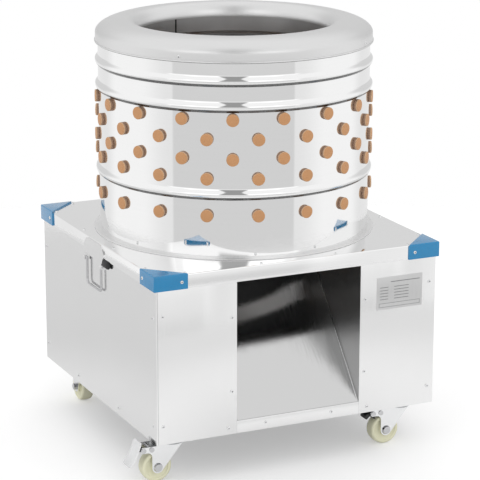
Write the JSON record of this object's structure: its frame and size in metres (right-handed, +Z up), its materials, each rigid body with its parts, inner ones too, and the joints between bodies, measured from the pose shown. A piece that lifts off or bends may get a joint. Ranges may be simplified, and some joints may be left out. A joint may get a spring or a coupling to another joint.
{
  "type": "poultry plucker",
  "caption": "Drum poultry plucker: polished drum lined with rubber fingers over a turning plate, on a square steel cabinet with a sloping feather chute, side handles and castors.",
  "frame": {"origin": "on the floor under the drum's axis", "axes": "+Z up along the drum's axis, -Y out of the chute, +X to the right as seen from the chute"},
  "size_m": [0.7152, 0.6236, 0.856],
  "materials": {
    "stainless": "brushed satin sheet",
    "polished": "mirror-polished sheet",
    "blue_paint": "gloss blue paint",
    "tan_rubber": "moulded tan rubber",
    "cream_wheel": "moulded cream nylon",
    "zinc": "bright zinc plate",
    "black_rubber": "matt black rubber",
    "black_plastic": "moulded black plastic",
    "iron": "painted casting",
    "frame_steel": "grey primer",
    "shaft_steel": "turned bright steel",
    "motor_paint": "machine blue-grey paint",
    "grey_box": "moulded grey plastic",
    "green_cap": "moulded green cap",
    "red_cap": "moulded red cap",
    "plate_metal": "bare etched plate"
  },
  "bodies": {
    "cabinet": {"deck_plate": "stainless", "corner_guards": "blue_paint", "front_left_panel": "stainless", "front_right_panel": "stainless", "sill_strip": "stainless", "left_panel": "stainless", "right_panel": "stainless", "rear_panel": "stainless", "frame_posts": "frame_steel", "frame_rails": "frame_steel", "cross_beams": "frame_steel", "chute_floor": "stainless", "chute_walls": "stainless", "name_plate": "plate_metal", "sheet_screws": "zinc", "drum_shell": "polished", "drum_foot_ring": "polished", "rim_ring": "polished", "drum_fingers": "tan_rubber", "shaft_seal": "black_rubber", "bearing_housings": "iron", "bearing_inserts": "shaft_steel", "drive_belts": "black_rubber", "motor_body": "motor_paint", "fan_cover": "motor_paint", "terminal_box": "iron", "motor_plate": "frame_steel", "hex_bolts": "zinc", "switch_box": "grey_box", "switch_cover": "grey_box", "cable_gland": "black_plastic", "handle_plates": "zinc", "bail_stops": "black_rubber", "castor_heads": "zinc", "rear_castor_frames": "zinc", "rear_axles": "zinc"},
    "rotor": {"feather_plate": "polished", "plate_fingers": "tan_rubber", "centre_cone": "polished", "sweeper_blades": "black_rubber", "main_shaft": "shaft_steel", "hub_nut": "zinc", "driven_pulley": "iron"},
    "motor_rotor": {"motor_shaft": "shaft_steel", "motor_pulley": "iron", "motor_fan": "black_plastic"},
    "front_left_swivel": {"front_left_fork": "zinc", "front_left_pins": "zinc"},
    "front_right_swivel": {"front_right_fork": "zinc", "front_right_pins": "zinc"},
    "front_left_wheel": {"front_left_wheel": "cream_wheel"},
    "front_right_wheel": {"front_right_wheel": "cream_wheel"},
    "rear_left_wheel": {"rear_left_wheel": "cream_wheel"},
    "rear_right_wheel": {"rear_right_wheel": "cream_wheel"},
    "front_left_brake": {"front_left_brake": "zinc"},
    "front_right_brake": {"front_right_brake": "black_plastic"},
    "left_bail": {"left_bail": "zinc"},
    "right_bail": {"right_bail": "zinc"},
    "start_button": {"start_button": "green_cap"},
    "stop_button": {"stop_button": "red_cap"}
  },
  "joints": [
    {"name": "plate_spin", "type": "hinge", "parent": "cabinet", "child": "rotor", "pos_m": [0, 0, 0.4], "axis": [0, 0, 1], "continuous": true},
    {"name": "motor_spin", "type": "hinge", "parent": "cabinet", "child": "motor_rotor", "pos_m": [0, 0.195, 0.25], "axis": [0, 0, 1], "continuous": true},
    {"name": "front_left_swivel", "type": "hinge", "parent": "cabinet", "child": "front_left_swivel", "pos_m": [-0.253, -0.253, 0.075], "axis": [0, 0, 1], "continuous": true},
    {"name": "front_right_swivel", "type": "hinge", "parent": "cabinet", "child": "front_right_swivel", "pos_m": [0.253, -0.253, 0.075], "axis": [0, 0, 1], "continuous": true},
    {"name": "front_left_roll", "type": "hinge", "parent": "front_left_swivel", "child": "front_left_wheel", "pos_m": [-0.288, -0.253, 0.0315], "axis": [0, 1, 0], "continuous": true},
    {"name": "front_right_roll", "type": "hinge", "parent": "front_right_swivel", "child": "front_right_wheel", "pos_m": [0.218, -0.253, 0.0315], "axis": [0, 1, 0], "continuous": true},
    {"name": "rear_left_roll", "type": "hinge", "parent": "cabinet", "child": "rear_left_wheel", "pos_m": [-0.242, 0.253, 0.0315], "axis": [1, 0, 0], "continuous": true},
    {"name": "rear_right_roll", "type": "hinge", "parent": "cabinet", "child": "rear_right_wheel", "pos_m": [0.242, 0.253, 0.0315], "axis": [1, 0, 0], "continuous": true},
    {"name": "front_left_brake", "type": "hinge", "parent": "front_left_swivel", "child": "front_left_brake", "pos_m": [-0.318, -0.253, 0.07], "axis": [0, -1, 0], "range_deg": [0, 12]},
    {"name": "front_right_brake", "type": "hinge", "parent": "front_right_swivel", "child": "front_right_brake", "pos_m": [0.188, -0.253, 0.07], "axis": [0, -1, 0], "range_deg": [0, 12]},
    {"name": "left_bail_swing", "type": "hinge", "parent": "cabinet", "child": "left_bail", "pos_m": [-0.31, 0, 0.382], "axis": [0, 1, 0], "range_deg": [0, 95]},
    {"name": "right_bail_swing", "type": "hinge", "parent": "cabinet", "child": "right_bail", "pos_m": [0.31, 0, 0.382], "axis": [0, -1, 0], "range_deg": [0, 95]},
    {"name": "start_press", "type": "slide", "parent": "cabinet", "child": "start_button", "axis": [-1, 0, 0], "range_m": [0, 0.004], "stiffness_N_per_m": 400},
    {"name": "stop_press", "type": "slide", "parent": "cabinet", "child": "stop_button", "axis": [-1, 0, 0], "range_m": [0, 0.004], "stiffness_N_per_m": 400}
  ],
  "couplings": [
    {"joint": "motor_spin", "follows": "plate_spin", "ratio": 5}
  ]
}
